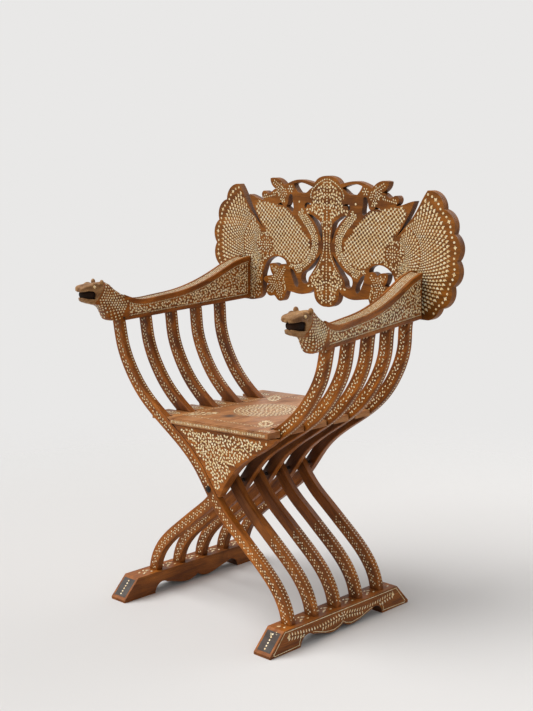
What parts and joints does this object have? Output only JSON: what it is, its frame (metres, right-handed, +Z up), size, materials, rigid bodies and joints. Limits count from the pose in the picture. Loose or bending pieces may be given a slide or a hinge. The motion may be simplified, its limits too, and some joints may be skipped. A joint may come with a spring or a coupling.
{
  "type": "folding savonarola armchair",
  "caption": "Folding armchair of crossed S-curved slats with beast-head arms, a slotted board seat on a hinge rod and a pierced lift-off back board of two birds, inlaid with bone chips.",
  "frame": {"origin": "on the floor below the middle of the chair's box", "axes": "the chair faces -Y, +X is to the right of someone who stands in front of it, +Z is up"},
  "size_m": [0.7748, 0.5165, 0.992],
  "materials": {
    "carved_walnut": "waxed, inlaid with bone chips on the sides",
    "slat_walnut": "waxed, inlaid with rows of bone dots",
    "foot_walnut": "waxed, worn edges, darkened ends",
    "seat_walnut": "waxed, inlaid with bone chips",
    "apron_walnut": "waxed, inlaid with bone chips",
    "board_walnut": "waxed, inlaid with bone chips on the front",
    "plain_walnut": "oiled, plain",
    "peg_wood": "dark end grain",
    "dark_iron": "dark, slightly rusted"
  },
  "bodies": {
    "frame_a": {"arm_left": "carved_walnut", "slat_a1": "slat_walnut", "slat_a2": "slat_walnut", "slat_a3": "slat_walnut", "slat_a4": "slat_walnut", "slat_a5": "slat_walnut", "foot_right": "foot_walnut", "arm_pegs_left": "peg_wood", "foot_pegs_right": "peg_wood", "pivot_rod": "dark_iron", "pivot_washers": "dark_iron", "seat_hinge_rod": "dark_iron"},
    "frame_b": {"arm_right": "carved_walnut", "slat_b1": "slat_walnut", "slat_b2": "slat_walnut", "slat_b3": "slat_walnut", "slat_b4": "slat_walnut", "slat_b5": "slat_walnut", "foot_left": "foot_walnut", "arm_pegs_right": "peg_wood", "foot_pegs_left": "peg_wood", "seat_rest_rod": "dark_iron"},
    "seat": {"seat_board": "seat_walnut", "seat_front_moulding": "seat_walnut", "seat_apron": "apron_walnut", "apron_blocks": "plain_walnut"},
    "back": {"back_board": "board_walnut", "back_key_left": "plain_walnut", "back_key_right": "plain_walnut", "back_key_pegs": "peg_wood"}
  },
  "joints": [
    {"name": "fold", "type": "hinge", "parent": "frame_a", "child": "frame_b", "pos_m": [0, 0, 0.305], "axis": [0, -1, 0], "range_deg": [0, 38]},
    {"name": "seat_lift", "type": "hinge", "parent": "frame_a", "child": "seat", "pos_m": [-0.165, 0, 0.441], "axis": [0, -1, 0], "range_deg": [0, 55.2]},
    {"name": "back_lift", "type": "slide", "parent": "frame_a", "child": "back", "axis": [0, 0, 1], "range_m": [0, 0.12]}
  ],
  "couplings": [
    {"joint": "seat_lift", "follows": "fold", "ratio": 1.45}
  ]
}
